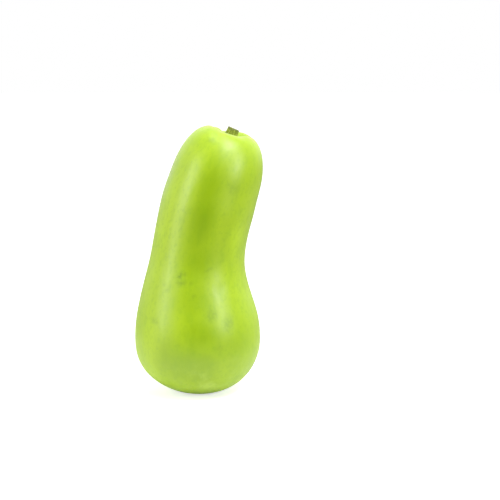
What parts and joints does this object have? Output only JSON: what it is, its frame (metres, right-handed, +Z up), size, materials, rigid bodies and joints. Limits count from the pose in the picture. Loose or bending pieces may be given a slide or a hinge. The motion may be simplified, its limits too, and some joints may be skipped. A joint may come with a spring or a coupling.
{
  "type": "bottle gourd",
  "caption": "Whole picked bottle gourd standing on its bulb: a pale green club-shaped fruit with a bent neck and a cut stem in the hollow at its top.",
  "frame": {"origin": "on the surface that the gourd stands on, under the middle of its outer box, which is about 1 mm to the left of the middle of the flat resting spot", "axes": "+Z up along the gourd's height, +X towards the side that the neck leans to, +Y away from the viewer who sees that lean to the right"},
  "size_m": [0.1088, 0.1062, 0.2265],
  "materials": {
    "gourd_skin": "satin",
    "cut_stem": "matte"
  },
  "bodies": {
    "root": {"fruit": "gourd_skin", "stem": "cut_stem"}
  },
  "joints": []
}
